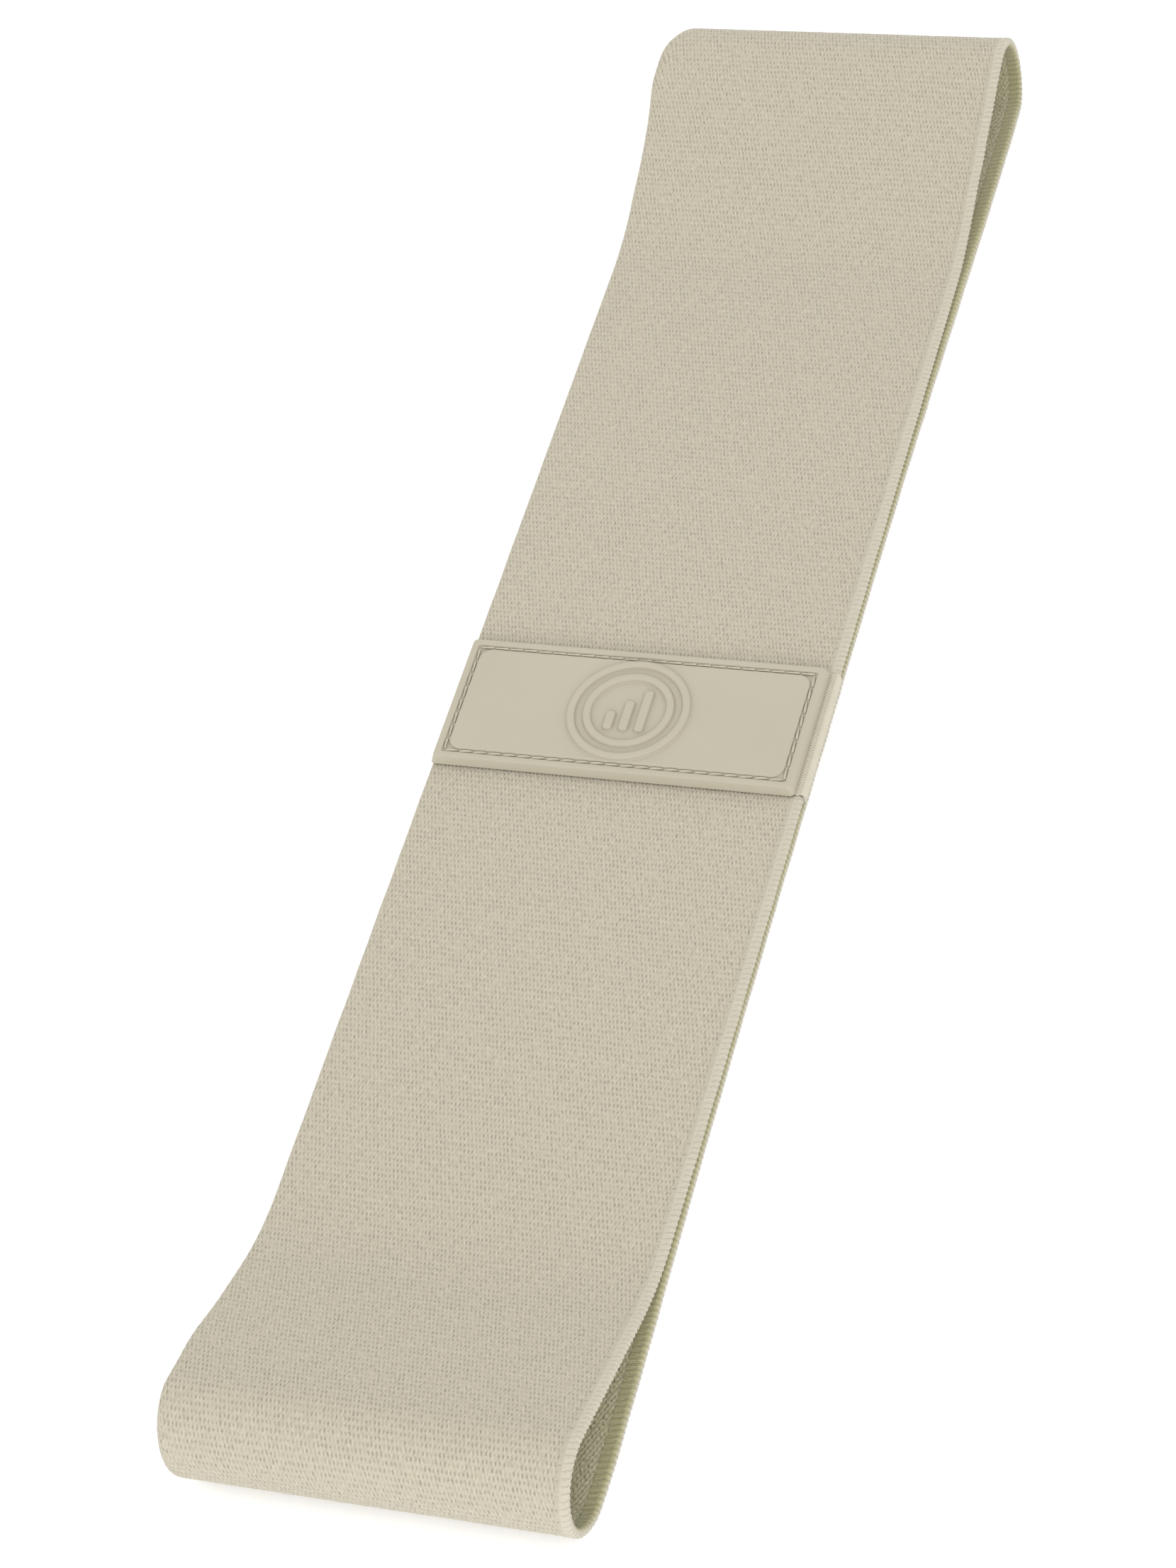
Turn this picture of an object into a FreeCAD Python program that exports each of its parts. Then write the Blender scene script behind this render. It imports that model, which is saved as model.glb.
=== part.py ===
import FreeCAD, Part
import math
import os

# Fabric hip band: a closed loop of woven elastic webbing lying on its back run.
# Frame: X along the length, Y across the width, Z up, millimetres.
# Origin: on the ground, at the middle of the loop's length and width.

# Overall size at rest
LOOP_LENGTH = 386.0
BAND_WIDTH = 80.0
WEB_THICK = 1.8
LAYER_GAP = 0.8

# Webbing build-up, through the thickness and across the width
CORE_THICK = 0.6
CORE_THREAD_WIDTH = 1.3
CORE_THREAD_COUNT = 24
RIGHT_SELVEDGE_WIDTH = 2.1
LEFT_SELVEDGE_WIDTH = 1.1
SEGMENT_GAP = 0.2

# Open ends of the loop: the front run leaves the back run and turns round a nose
FAR_NOSE_RADIUS = 8.7
FAR_SLOPE = 16.0
NEAR_NOSE_RADIUS = 9.7
NEAR_SLOPE = 21.5
LEAD_RADIUS = 52.0

# Where the runs bend and stretch
FOLD_X = 21.0
STRETCH_X = 75.0

# Joint of the webbing's two ends, under the patch
PATCH_X = -6.0
BUTT_GAP = 0.6
LACING_RADIUS = 0.2
LACING_PITCH = 2.0
LACING_MARGIN = 1.0
TAPE_LENGTH = 32.0
TAPE_THICK = 0.4
TAPE_RETURN = 14.0

# Moulded patch
PATCH_LENGTH = 33.0
PATCH_RIGHT_MARGIN = 1.6
PATCH_THICK = 2.0
PATCH_CORNER = 1.0
PATCH_EDGE_CHAMFER = 0.75
RIM_WIDTH = 2.1
GROOVE_WIDTH = 0.95
GROOVE_DEPTH = 0.7
GROOVE_CORNER = 0.4
PANEL_CORNER = 2.6
PANEL_CHAMFER = 0.25

# Raised emblem on the patch: rings round three level bars
EMBLEM_RISE = 0.8
EMBLEM_SHOULDER = 0.25
RING_RADII = (12.2, 8.8)
RING_WIDTH = 1.9
BAR_LENGTHS = (5.0, 8.0, 11.0)
BAR_WIDTH = 2.2
BAR_PITCH = 3.4
BAR_CORNER = 0.8
BAR_EDGE_ROUND = 0.3

# Sewing thread on the patch
STITCH_RADIUS = 0.28
STITCH_LENGTH = 2.4
STITCHES_ALONG = 23
STITCHES_ACROSS = 8
UNDER_STITCH_THICK = 0.2
TAPE_STITCH_LENGTH = 2.1
TAPE_STITCH_PITCH = 3.0

TOLERANCE = 0.001

HALF_LENGTH = LOOP_LENGTH / 2
HALF_WIDTH = BAND_WIDTH / 2
HALF_THICK = WEB_THICK / 2
BACK_Z = HALF_THICK
FRONT_Z = WEB_THICK + LAYER_GAP + HALF_THICK
FRONT_UNDER_Z = FRONT_Z - HALF_THICK
FRONT_TOP_Z = FRONT_Z + HALF_THICK
PATCH_BASE_Z = FRONT_TOP_Z + TAPE_THICK
CLOTH_RIGHT_Y = -HALF_WIDTH + RIGHT_SELVEDGE_WIDTH
CLOTH_LEFT_Y = HALF_WIDTH - LEFT_SELVEDGE_WIDTH
TAPE_EDGE_Y = -HALF_WIDTH + TAPE_RETURN


def vec(x, y, z):
    return FreeCAD.Vector(x, y, z)


def save(name, solids):
    """Write one node: one solid, or a group of separate solids."""
    shape = solids[0] if len(solids) == 1 else Part.makeCompound(solids)
    shape.exportStep(os.path.join("parts", name + ".step"))


# ---------------------------------------------------------------- loop profile
# A run is a list of pieces of the webbing's mid-line in the XZ plane, in order.
# Each piece is ("line", start, end) or ("arc", centre, radius, angle0, angle1),
# and the outside of the loop lies on its right-hand side.


def line(x0, z0, x1, z1):
    return ("line", (x0, z0), (x1, z1))


def arc(x, z, radius, angle0, angle1):
    return ("arc", (x, z), radius, math.radians(angle0), math.radians(angle1))


def end_turn(radius, slope):
    """Sizes of one open end: nose centre, slope's ends and where the lead-in ends."""
    b = math.radians(slope)
    nose_x = HALF_LENGTH - HALF_THICK - radius
    nose_z = BACK_Z + radius
    top = (nose_x - radius * math.sin(b), nose_z + radius * math.cos(b))
    foot_z = FRONT_Z + LEAD_RADIUS * (1 - math.cos(b))
    foot_x = top[0] - (top[1] - foot_z) / math.tan(b)
    lead_x = foot_x - LEAD_RADIUS * math.sin(b)
    return nose_x, nose_z, top, (foot_x, foot_z), lead_x


def half_loop(radius, slope):
    """Back arm, back tip, front tip and front arm of the half that points to +X."""
    nose_x, nose_z, top, foot, lead_x = end_turn(radius, slope)
    back_arm = [line(FOLD_X, BACK_Z, STRETCH_X, BACK_Z)]
    back_tip = [
        line(STRETCH_X, BACK_Z, nose_x, BACK_Z),
        arc(nose_x, nose_z, radius, -90, 0),
    ]
    front_tip = [
        arc(nose_x, nose_z, radius, 0, 90 + slope),
        line(top[0], top[1], foot[0], foot[1]),
        arc(lead_x, FRONT_Z + LEAD_RADIUS, LEAD_RADIUS, slope - 90, -90),
        line(lead_x, FRONT_Z, STRETCH_X, FRONT_Z),
    ]
    front_arm = [line(STRETCH_X, FRONT_Z, FOLD_X, FRONT_Z)]
    return {
        "back_arm": back_arm,
        "back_tip": back_tip,
        "front_tip": front_tip,
        "front_arm": front_arm,
    }


def trim(run, gap):
    """Shorten a run by gap at both ends, so that neighbours stay apart."""
    run = list(run)
    for index, at_start in ((0, True), (-1, False)):
        piece = run[index]
        if piece[0] == "line":
            (x0, z0), (x1, z1) = piece[1], piece[2]
            length = math.hypot(x1 - x0, z1 - z0)
            dx, dz = gap * (x1 - x0) / length, gap * (z1 - z0) / length
            if at_start:
                run[index] = line(x0 + dx, z0 + dz, x1, z1)
            else:
                run[index] = line(x0, z0, x1 - dx, z1 - dz)
        else:
            centre, radius, angle0, angle1 = piece[1:]
            turn = math.copysign(gap / radius, angle1 - angle0)
            if at_start:
                run[index] = ("arc", centre, radius, angle0 + turn, angle1)
            else:
                run[index] = ("arc", centre, radius, angle0, angle1 - turn)
    return run


def piece_edge(piece, offset):
    """The edge of one mid-line piece, moved outwards from the loop by offset."""
    if piece[0] == "line":
        (x0, z0), (x1, z1) = piece[1], piece[2]
        length = math.hypot(x1 - x0, z1 - z0)
        nx, nz = (z1 - z0) / length * offset, -(x1 - x0) / length * offset
        start, end = vec(x0 + nx, 0, z0 + nz), vec(x1 + nx, 0, z1 + nz)
        return Part.LineSegment(start, end).toShape(), start, end
    (cx, cz), radius, angle0, angle1 = piece[1:]
    outwards = 1 if angle1 > angle0 else -1
    r = radius + outwards * offset
    points = [
        vec(cx + r * math.cos(a), 0, cz + r * math.sin(a))
        for a in (angle0, (angle0 + angle1) / 2, angle1)
    ]
    return Part.Arc(*points).toShape(), points[0], points[-1]


def strip(run, inner, outer, y0, y1):
    """A solid that follows a run, between two offsets and two places across."""
    outside = [piece_edge(piece, outer) for piece in run]
    inside = [piece_edge(piece, inner) for piece in run]
    edges = [item[0] for item in outside]
    edges.append(Part.LineSegment(outside[-1][2], inside[-1][2]).toShape())
    edges.extend(item[0] for item in reversed(inside))
    edges.append(Part.LineSegment(inside[0][1], outside[0][1]).toShape())
    wire = Part.Wire(Part.__sortEdges__(edges))
    face = Part.Face(wire)
    face.translate(vec(0, y0, 0))
    return face.extrude(vec(0, y1 - y0, 0))


def mirrored(solids):
    """The same solids on the half that points to -X."""
    return [s.mirror(vec(0, 0, 0), vec(1, 0, 0)) for s in solids]


# -------------------------------------------------------------------- webbing


def webbing(run):
    """The webbing of one run: two cloth faces, rubber threads and two selvedges."""
    run = trim(run, SEGMENT_GAP / 2)
    core = CORE_THICK / 2
    pitch = (CLOTH_LEFT_Y - CLOTH_RIGHT_Y) / CORE_THREAD_COUNT
    threads = []
    for i in range(CORE_THREAD_COUNT):
        start = CLOTH_RIGHT_Y + pitch * (i + 0.5) - CORE_THREAD_WIDTH / 2
        threads.append(strip(run, -core, core, start, start + CORE_THREAD_WIDTH))
    edges = [
        strip(run, -HALF_THICK, HALF_THICK, -HALF_WIDTH, CLOTH_RIGHT_Y),
        strip(run, -HALF_THICK, HALF_THICK, CLOTH_LEFT_Y, HALF_WIDTH),
    ]
    return {
        "outer_cloth": [strip(run, core, HALF_THICK, CLOTH_RIGHT_Y, CLOTH_LEFT_Y)],
        "inner_cloth": [strip(run, -HALF_THICK, -core, CLOTH_RIGHT_Y, CLOTH_LEFT_Y)],
        "rubber_threads": threads,
        "selvedges": edges,
    }


def save_webbing(place, layers, turn=False):
    for layer, solids in layers.items():
        save(layer + "_" + place, mirrored(solids) if turn else solids)


def make_webbing():
    for side, radius, slope in (
        ("far", FAR_NOSE_RADIUS, FAR_SLOPE),
        ("near", NEAR_NOSE_RADIUS, NEAR_SLOPE),
    ):
        for name, run in half_loop(radius, slope).items():
            save_webbing(side + "_" + name, webbing(run), turn=side == "near")
    save_webbing("back_middle", webbing([line(-FOLD_X, BACK_Z, FOLD_X, BACK_Z)]))
    far_face = PATCH_X + BUTT_GAP / 2
    near_face = PATCH_X - BUTT_GAP / 2
    save_webbing("far_end", webbing([line(FOLD_X, FRONT_Z, far_face, FRONT_Z)]))
    save_webbing("near_end", webbing([line(near_face, FRONT_Z, -FOLD_X, FRONT_Z)]))


# --------------------------------------------------------- joint of the two ends


def rod(start, end, radius):
    along = end.sub(start)
    return Part.makeCylinder(radius, along.Length, start, along)


def lacing_thread():
    """The zigzag thread in the gap between the webbing's two ends."""
    low = FRONT_UNDER_Z + LACING_RADIUS
    high = FRONT_TOP_Z - LACING_RADIUS
    count = int((BAND_WIDTH - 2 * LACING_MARGIN) / LACING_PITCH)
    solids = []
    for i in range(count):
        y = -count * LACING_PITCH / 2 + i * LACING_PITCH
        z0, z1 = (low, high) if i % 2 == 0 else (high, low)
        start, end = vec(PATCH_X, y, z0), vec(PATCH_X, y + LACING_PITCH, z1)
        shorten = (end.sub(start)).normalize().multiply(LACING_RADIUS)
        solids.append(rod(start.add(shorten), end.sub(shorten), LACING_RADIUS))
    return solids


def joint_tape():
    """A thin tape wrapped round the right edge of the joint, above and below it."""
    x0 = PATCH_X - TAPE_LENGTH / 2
    low, high = FRONT_UNDER_Z - TAPE_THICK, FRONT_TOP_Z + TAPE_THICK
    right_y = -HALF_WIDTH - TAPE_THICK
    wrap = Part.makeBox(TAPE_LENGTH, HALF_WIDTH - right_y, high - low, vec(x0, right_y, low))
    hollow = Part.makeBox(TAPE_LENGTH, BAND_WIDTH, WEB_THICK, vec(x0, -HALF_WIDTH, FRONT_UNDER_Z))
    left_width = HALF_WIDTH - TAPE_EDGE_Y
    open_side = Part.makeBox(TAPE_LENGTH, left_width, TAPE_THICK, vec(x0, TAPE_EDGE_Y, low))
    return [wrap.cut(hollow).cut(open_side)]


def bead(centre, along, length, radius):
    """One stitch on top: a short round bar lying flat, with domed ends."""
    half = along.multiply(length / 2 - radius)
    bar = rod(centre.sub(half), centre.add(half), radius)
    ends = [Part.makeSphere(radius, centre.sub(half)), Part.makeSphere(radius, centre.add(half))]
    return bar.multiFuse(ends).removeSplitter()


def under_stitch(x, y, length_x, length_y):
    """One stitch pulled flat against the underside of the front run."""
    corner = vec(x - length_x / 2, y - length_y / 2, FRONT_UNDER_Z - UNDER_STITCH_THICK)
    return Part.makeBox(length_x, length_y, UNDER_STITCH_THICK, corner)


def tape_thread():
    """The short row of stitches that closes the tape under the joint."""
    y = TAPE_EDGE_Y + STITCH_RADIUS
    count = int(TAPE_LENGTH / TAPE_STITCH_PITCH)
    solids = []
    for i in range(count):
        x = PATCH_X + (i - (count - 1) / 2) * TAPE_STITCH_PITCH
        solids.append(under_stitch(x, y, TAPE_STITCH_LENGTH, 2 * STITCH_RADIUS))
    return solids


# ---------------------------------------------------------------------- patch
PATCH_RIGHT_Y = -HALF_WIDTH + PATCH_RIGHT_MARGIN
PATCH_WIDTH = HALF_WIDTH - PATCH_RIGHT_Y
PATCH_Y = (HALF_WIDTH + PATCH_RIGHT_Y) / 2
PANEL_INSET = RIM_WIDTH + GROOVE_WIDTH


def upright_edges(solid):
    return [e for e in solid.Edges if e.BoundBox.ZLength > solid.BoundBox.ZLength / 2]


def top_edges(solid):
    return [e for e in solid.Edges if e.BoundBox.Center.z > solid.BoundBox.ZMax - TOLERANCE]


def rounded_plate(length, width, height, corner, z):
    """A plate with rounded corners, centred on the patch."""
    x0, y0 = PATCH_X - length / 2, PATCH_Y - width / 2
    plate = Part.makeBox(length, width, height, vec(x0, y0, z))
    return plate.makeFillet(corner, upright_edges(plate))


def domed_ring(radius, z):
    """A ring round the patch's middle with a domed top."""
    inner, outer = radius - RING_WIDTH / 2, radius + RING_WIDTH / 2
    shoulder = z + EMBLEM_SHOULDER
    corners = [vec(inner, 0, shoulder), vec(inner, 0, z), vec(outer, 0, z), vec(outer, 0, shoulder)]
    edges = [Part.LineSegment(a, b).toShape() for a, b in zip(corners, corners[1:])]
    dome = Part.Arc(corners[-1], vec(radius, 0, z + EMBLEM_RISE), corners[0])
    section = Part.Face(Part.Wire(edges + [dome.toShape()]))
    ring = section.revolve(vec(0, 0, 0), vec(0, 0, 1), 360)
    ring.translate(vec(PATCH_X, PATCH_Y, 0))
    return ring


def bar(length, y, z):
    """One level bar with rounded corners and a rounded top outline."""
    foot_x = PATCH_X - max(BAR_LENGTHS) / 2
    solid = Part.makeBox(length, BAR_WIDTH, EMBLEM_RISE, vec(foot_x, y - BAR_WIDTH / 2, z))
    solid = solid.makeFillet(BAR_CORNER, upright_edges(solid))
    return solid.makeFillet(BAR_EDGE_ROUND, top_edges(solid))


def emblem():
    """The raised generic mark: two rings round three level bars."""
    z = PATCH_BASE_Z + PATCH_THICK
    solids = [domed_ring(radius, z) for radius in RING_RADII]
    first_y = PATCH_Y + BAR_PITCH * (len(BAR_LENGTHS) - 1) / 2
    for i, length in enumerate(BAR_LENGTHS):
        solids.append(bar(length, first_y - i * BAR_PITCH, z))
    return solids


def patch():
    plate = rounded_plate(PATCH_LENGTH, PATCH_WIDTH, PATCH_THICK, PATCH_CORNER, PATCH_BASE_Z)
    plate = plate.makeChamfer(PATCH_EDGE_CHAMFER, top_edges(plate))
    floor_z = PATCH_BASE_Z + PATCH_THICK - GROOVE_DEPTH
    well = rounded_plate(
        PATCH_LENGTH - 2 * RIM_WIDTH,
        PATCH_WIDTH - 2 * RIM_WIDTH,
        GROOVE_DEPTH,
        GROOVE_CORNER,
        floor_z,
    )
    panel = rounded_plate(
        PATCH_LENGTH - 2 * PANEL_INSET,
        PATCH_WIDTH - 2 * PANEL_INSET,
        GROOVE_DEPTH,
        PANEL_CORNER,
        floor_z,
    )
    panel = panel.makeChamfer(PANEL_CHAMFER, top_edges(panel))
    return [plate.cut(well).fuse(panel).multiFuse(emblem()).removeSplitter()]


def stitch_places():
    """Centre of each stitch round the patch's groove, and whether it runs across."""
    inset = RIM_WIDTH + GROOVE_WIDTH / 2
    half_x = PATCH_LENGTH / 2 - inset
    half_y = PATCH_WIDTH / 2 - inset
    pitch_y = 2 * half_y / STITCHES_ALONG
    pitch_x = 2 * half_x / STITCHES_ACROSS
    for side in (-1, 1):
        for i in range(STITCHES_ALONG):
            y = PATCH_Y + (i - (STITCHES_ALONG - 1) / 2) * pitch_y
            yield PATCH_X + side * half_x, y, True
        for i in range(STITCHES_ACROSS):
            x = PATCH_X + (i - (STITCHES_ACROSS - 1) / 2) * pitch_x
            yield x, PATCH_Y + side * half_y, False


def patch_threads():
    """Needle thread in the groove on top, and bobbin thread under the webbing."""
    top_z = PATCH_BASE_Z + PATCH_THICK - GROOVE_DEPTH + STITCH_RADIUS
    needle, bobbin = [], []
    for x, y, across in stitch_places():
        along = vec(0, 1, 0) if across else vec(1, 0, 0)
        needle.append(bead(vec(x, y, top_z), along, STITCH_LENGTH, STITCH_RADIUS))
        if y > TAPE_EDGE_Y + STITCH_LENGTH:
            sizes = (2 * STITCH_RADIUS, STITCH_LENGTH) if across else (STITCH_LENGTH, 2 * STITCH_RADIUS)
            bobbin.append(under_stitch(x, y, *sizes))
    return needle, bobbin


def main():
    os.makedirs("parts", exist_ok=True)
    make_webbing()
    save("lacing_thread", lacing_thread())
    save("joint_tape", joint_tape())
    save("tape_thread", tape_thread())
    save("patch", patch())
    needle, bobbin = patch_threads()
    save("patch_needle_thread", needle)
    save("patch_bobbin_thread", bobbin)


main()
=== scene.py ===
import math

import bpy
import numpy as np
from mathutils import Matrix, Vector


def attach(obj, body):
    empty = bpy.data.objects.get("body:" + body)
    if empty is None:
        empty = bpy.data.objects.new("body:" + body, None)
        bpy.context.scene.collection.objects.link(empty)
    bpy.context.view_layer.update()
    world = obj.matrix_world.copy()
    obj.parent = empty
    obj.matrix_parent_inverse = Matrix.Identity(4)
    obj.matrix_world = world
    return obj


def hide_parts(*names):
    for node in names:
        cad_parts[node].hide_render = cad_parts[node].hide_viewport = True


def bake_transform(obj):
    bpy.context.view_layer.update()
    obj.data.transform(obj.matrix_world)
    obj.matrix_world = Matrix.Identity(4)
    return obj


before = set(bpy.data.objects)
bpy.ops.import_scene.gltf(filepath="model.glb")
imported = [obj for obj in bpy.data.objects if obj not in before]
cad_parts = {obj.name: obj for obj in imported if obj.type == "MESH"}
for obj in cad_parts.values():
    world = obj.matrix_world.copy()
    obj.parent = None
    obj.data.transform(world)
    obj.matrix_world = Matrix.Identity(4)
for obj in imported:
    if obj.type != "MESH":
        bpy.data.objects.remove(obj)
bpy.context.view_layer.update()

# Fabric hip band: a loop of woven elastic webbing with a moulded patch over its joint.
# Sizes below are millimetres in the row frame; meshes are written in metres.
MM = 0.001

# ------------------------------------------------------------------ the band's sizes
HALF_LENGTH = 193.0
HALF_WIDTH = 40.0
HALF_THICK = 0.9
BACK_Z = 0.9
FRONT_Z = 3.5
# Nose radius and slope in degrees of each open end
FAR_END = (8.7, 16.0)
NEAR_END = (9.7, 21.5)
LEAD_RADIUS = 52.0
CORE_HALF = 0.3
# Where the end rings of the webbing and of the tape go, to stay under the yarns
CAP_LEVEL = 0.36
TAPE_SINK = 0.47
# How far yarns wander from their lines
STRAY = 0.06

# The weave: one yarn column every COLUMN, one weft every ROW, holes staggered
COLUMN = 0.40625
ROW = 1.28
ROW_STEPS = 3

PATCH_X = -6.0
PATCH_LENGTH = 33.0
PATCH_RIGHT = -38.4
PATCH_WIDTH = HALF_WIDTH - PATCH_RIGHT
PATCH_Y = (HALF_WIDTH + PATCH_RIGHT) / 2
PATCH_BASE = 4.8
PATCH_TOP = 6.8
GROOVE_FLOOR = PATCH_TOP - 0.55
GROOVE_LINE = 2.1 + 0.475

TAPE_THICK = 0.4
TAPE_LENGTH = 32.0

STITCH_LENGTH = 2.9
TAPE_STITCH_LENGTH = 2.3
STITCHES_ALONG = 23
STITCHES_ACROSS = 8
TAPE_STITCHES = 10
TAPE_STITCH_PITCH = 3.0
TAPE_STITCH_Y = -25.7
# Height, radius and arch of the stitches in the groove and on the underside
NEEDLE_STITCH = (GROOVE_FLOOR + 0.29, 0.27, 0.22)
UNDER_STITCH = (2.5, 0.09, 0.0)
# The bobbin's stitches to the right of this are under the tape
TAPE_COVER_Y = -23.0

CAMERA_ANGLES = (-61.02, 49.43, -17.49)
CAMERA_TARGET = (-20.5, 7.05, 0.0)
CAMERA_DISTANCE = 851.0
CAMERA_LENS = 94.96


# ------------------------------------------------------------------------- camera
def make_camera():
    azimuth, elevation, roll = (math.radians(v) for v in CAMERA_ANGLES)
    target = Vector(CAMERA_TARGET) * MM
    distance = CAMERA_DISTANCE * MM
    back = Vector((
        math.sin(azimuth) * math.cos(elevation),
        -math.cos(azimuth) * math.cos(elevation),
        math.sin(elevation),
    ))
    level = Vector((math.cos(azimuth), math.sin(azimuth), 0.0))
    upright = back.cross(level)
    right = level * math.cos(roll) + upright * math.sin(roll)
    up = upright * math.cos(roll) - level * math.sin(roll)
    data = bpy.data.cameras.new("camera")
    data.lens = CAMERA_LENS
    data.sensor_width = 36.0
    data.clip_start, data.clip_end = 0.01, 20.0
    camera = bpy.data.objects.new("camera", data)
    bpy.context.scene.collection.objects.link(camera)
    turn = Matrix((right, up, back)).transposed()
    camera.matrix_world = Matrix.Translation(target + back * distance) @ turn.to_4x4()
    bpy.context.scene.camera = camera


make_camera()


# ---------------------------------------------------------------- the loop's path
def end_shape(radius, slope):
    """Where one end's round nose, straight slope and gentle lead-in begin."""
    b = math.radians(slope)
    nose_x = HALF_LENGTH - HALF_THICK - radius
    nose_z = BACK_Z + radius
    top = (nose_x - radius * math.sin(b), nose_z + radius * math.cos(b))
    foot_z = FRONT_Z + LEAD_RADIUS * (1 - math.cos(b))
    foot_x = top[0] - (top[1] - foot_z) / math.tan(b)
    lead_x = foot_x - LEAD_RADIUS * math.sin(b)
    slope_start = nose_x + radius * (math.pi + b)
    lead_start = slope_start + (top[1] - foot_z) / math.sin(b)
    flat_start = lead_start + LEAD_RADIUS * b
    return b, nose_x, nose_z, top, lead_x, slope_start, lead_start, flat_start


def half_path(s, radius, slope):
    """Place and heading of the webbing's mid-line, s along it from the back's middle."""
    b, nose_x, nose_z, top, lead_x, slope_start, lead_start, flat_start = end_shape(radius, slope)
    turn = (s - nose_x) / radius - math.pi / 2
    lead = b - math.pi / 2 - (s - lead_start) / LEAD_RADIUS
    along = s - slope_start
    where = [s < nose_x, s < slope_start, s < lead_start, s < flat_start]
    x = np.select(where, [
        s,
        nose_x + radius * np.cos(turn),
        top[0] - along * math.cos(b),
        lead_x + LEAD_RADIUS * np.cos(lead),
    ], lead_x - (s - flat_start))
    z = np.select(where, [
        BACK_Z + 0 * s,
        nose_z + radius * np.sin(turn),
        top[1] - along * math.sin(b),
        FRONT_Z + LEAD_RADIUS * (1 + np.sin(lead)),
    ], FRONT_Z)
    head_x = np.select(where, [1 + 0 * s, -np.sin(turn), -math.cos(b) + 0 * s, np.sin(lead)], -1.0)
    head_z = np.select(where, [0 * s, np.cos(turn), -math.sin(b) + 0 * s, -np.cos(lead)], 0.0)
    return x, z, head_x, head_z


def loop_path(s):
    """Mid-line place and outward direction; s is positive through the far end."""
    x, z, hx, hz = half_path(np.abs(s), *FAR_END)
    x2, z2, hx2, hz2 = half_path(np.abs(s), *NEAR_END)
    near = s < 0
    x = np.where(near, -x2, x)
    z = np.where(near, z2, z)
    hx = np.where(near, hx2, hx)
    hz = np.where(near, -hz2, hz)
    return x, z, hz, -hx


def straight_path(s):
    """The front run over the joint, as a straight line; s grows towards -X."""
    return -s, FRONT_Z + 0 * s, 0 * s, 1 + 0 * s


def front_s(x, end):
    """How far along the loop the front run reaches x, going through that end."""
    *_, lead_x, _, _, flat_start = end_shape(*end)
    return flat_start + lead_x - x


# ---------------------------------------------------------------- irregular numbers
def wobble(u, v, seed, wave):
    """Smooth unevenness between -1 and 1, from a few crossing waves."""
    total = 0.0
    for i in range(4):
        angle = seed * 1.7 + i * 2.4
        k = 2 * math.pi / (wave * (1 + 0.37 * i))
        total = total + np.sin(k * (u * math.cos(angle) + v * math.sin(angle)) + seed * 5.1 + i)
    return total / 4


def cell_noise(i, j, seed):
    """A fixed number from 0 to 1 for each cell."""
    x = np.sin(i * 12.9898 + j * 78.233 + seed * 37.719) * 43758.5453
    return x - np.floor(x)


# ------------------------------------------------------------------------- meshes
def new_object(name, mesh, material):
    mesh.materials.append(material)
    made = bpy.data.objects.new(name, mesh)
    bpy.context.scene.collection.objects.link(made)
    return made


def fill_mesh(name, points, faces):
    """A mesh from an array of points and a list of face index arrays."""
    mesh = bpy.data.meshes.new(name)
    loops = np.concatenate([f.ravel() for f in faces]).astype(np.int32)
    sizes = np.concatenate([np.full(len(f), f.shape[1]) for f in faces]).astype(np.int32)
    starts = np.concatenate([[0], np.cumsum(sizes)[:-1]]).astype(np.int32)
    mesh.vertices.add(len(points))
    mesh.vertices.foreach_set("co", points.astype(np.float32).ravel())
    mesh.loops.add(len(loops))
    mesh.loops.foreach_set("vertex_index", loops)
    mesh.polygons.add(len(sizes))
    mesh.polygons.foreach_set("loop_start", starts)
    mesh.polygons.foreach_set("loop_total", sizes)
    mesh.polygons.foreach_set("use_smooth", np.ones(len(sizes), bool))
    mesh.update(calc_edges=True)
    return mesh


def grid_faces(rows, columns, offset=0):
    """Quads of a grid that closes round its columns, and its two end caps."""
    i = np.arange(rows - 1)[:, None] * columns
    k = np.arange(columns)[None, :]
    k2 = (k + 1) % columns
    quads = np.stack([i + k, i + columns + k, i + columns + k2, i + k2], -1).reshape(-1, 4)
    first = np.arange(columns)[None, :]
    last = (rows - 1) * columns + np.arange(columns)[::-1][None, :]
    return quads + offset, first + offset, last + offset


def strip_cap(y, face):
    """Triangles between a section's relief face and its plain underside, for an end cap."""
    upper = np.flatnonzero(face)
    under = np.flatnonzero(~face)[::-1]
    triangles, j = [], 0
    for k, k2 in zip(upper, upper[1:]):
        middle = (y[k] + y[k2]) / 2
        while j + 1 < len(under) and abs(y[under[j + 1]] - middle) < abs(y[under[j]] - middle):
            triangles.append((k, under[j + 1], under[j]))
            j += 1
        triangles.append((k, k2, under[j]))
    while j + 1 < len(under):
        triangles.append((upper[-1], under[j + 1], under[j]))
        j += 1
    return np.array(triangles)


def hump(v, centre, before, after):
    """A smooth rise to 1 at centre and back, with its own length on each side."""
    return np.exp(-(((v - centre) / np.where(v < centre, before, after)) ** 2))


def smooth(t):
    """0 below 0, 1 above 1, and a smooth rise between."""
    t = np.clip(t, 0, 1)
    return t * t * (3 - 2 * t)


# Swells of each edge: height, side of the loop, place, and length before and after it
RIGHT_SWELLS = ((1.7, 1, 182.0, 85.0, 13.0), (0.9, -1, 176.0, 60.0, 13.0))
LEFT_SWELLS = (
    (1.3, 1, 222.0, 10.0, 11.0), (0.7, -1, 228.0, 9.0, 9.0), (0.3, -1, 202.0, 8.0, 8.0),
)


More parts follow.
